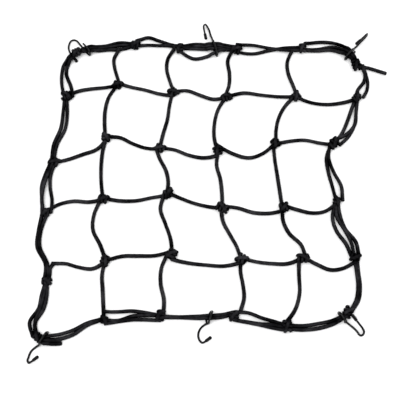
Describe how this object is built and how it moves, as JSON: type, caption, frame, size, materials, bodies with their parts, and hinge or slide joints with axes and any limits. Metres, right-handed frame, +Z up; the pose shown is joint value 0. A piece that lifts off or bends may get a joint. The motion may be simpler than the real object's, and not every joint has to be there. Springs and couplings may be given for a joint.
{
  "type": "cargo net",
  "caption": "Slack square net of black elastic cord tied at ridged knots, with coated-tip wire hooks hung on its border cords, for holding luggage on a rack.",
  "frame": {"origin": "middle of the outline, on the surface the net lies on", "axes": "+Z up; the net lies flat in the XY plane, +Y points to its top edge and +X to its right edge as seen from above"},
  "size_m": [0.439, 0.4482, 0.0142],
  "materials": {
    "elastic_cord": "matt woven polyester sheath over rubber strands",
    "hook_wire": "semi-gloss black coated steel wire",
    "hook_cap": "satin black soft coating"
  },
  "bodies": {
    "root": {"net": "elastic_cord", "hook_tl": "hook_wire", "hook_tm": "hook_wire", "hook_tr": "hook_wire", "hook_br": "hook_wire", "hook_bm": "hook_wire", "hook_bl": "hook_wire", "tip_tl": "hook_cap", "tip_tm": "hook_cap", "tip_tr": "hook_cap", "tip_br": "hook_cap", "tip_bm": "hook_cap", "tip_bl": "hook_cap"}
  },
  "joints": []
}
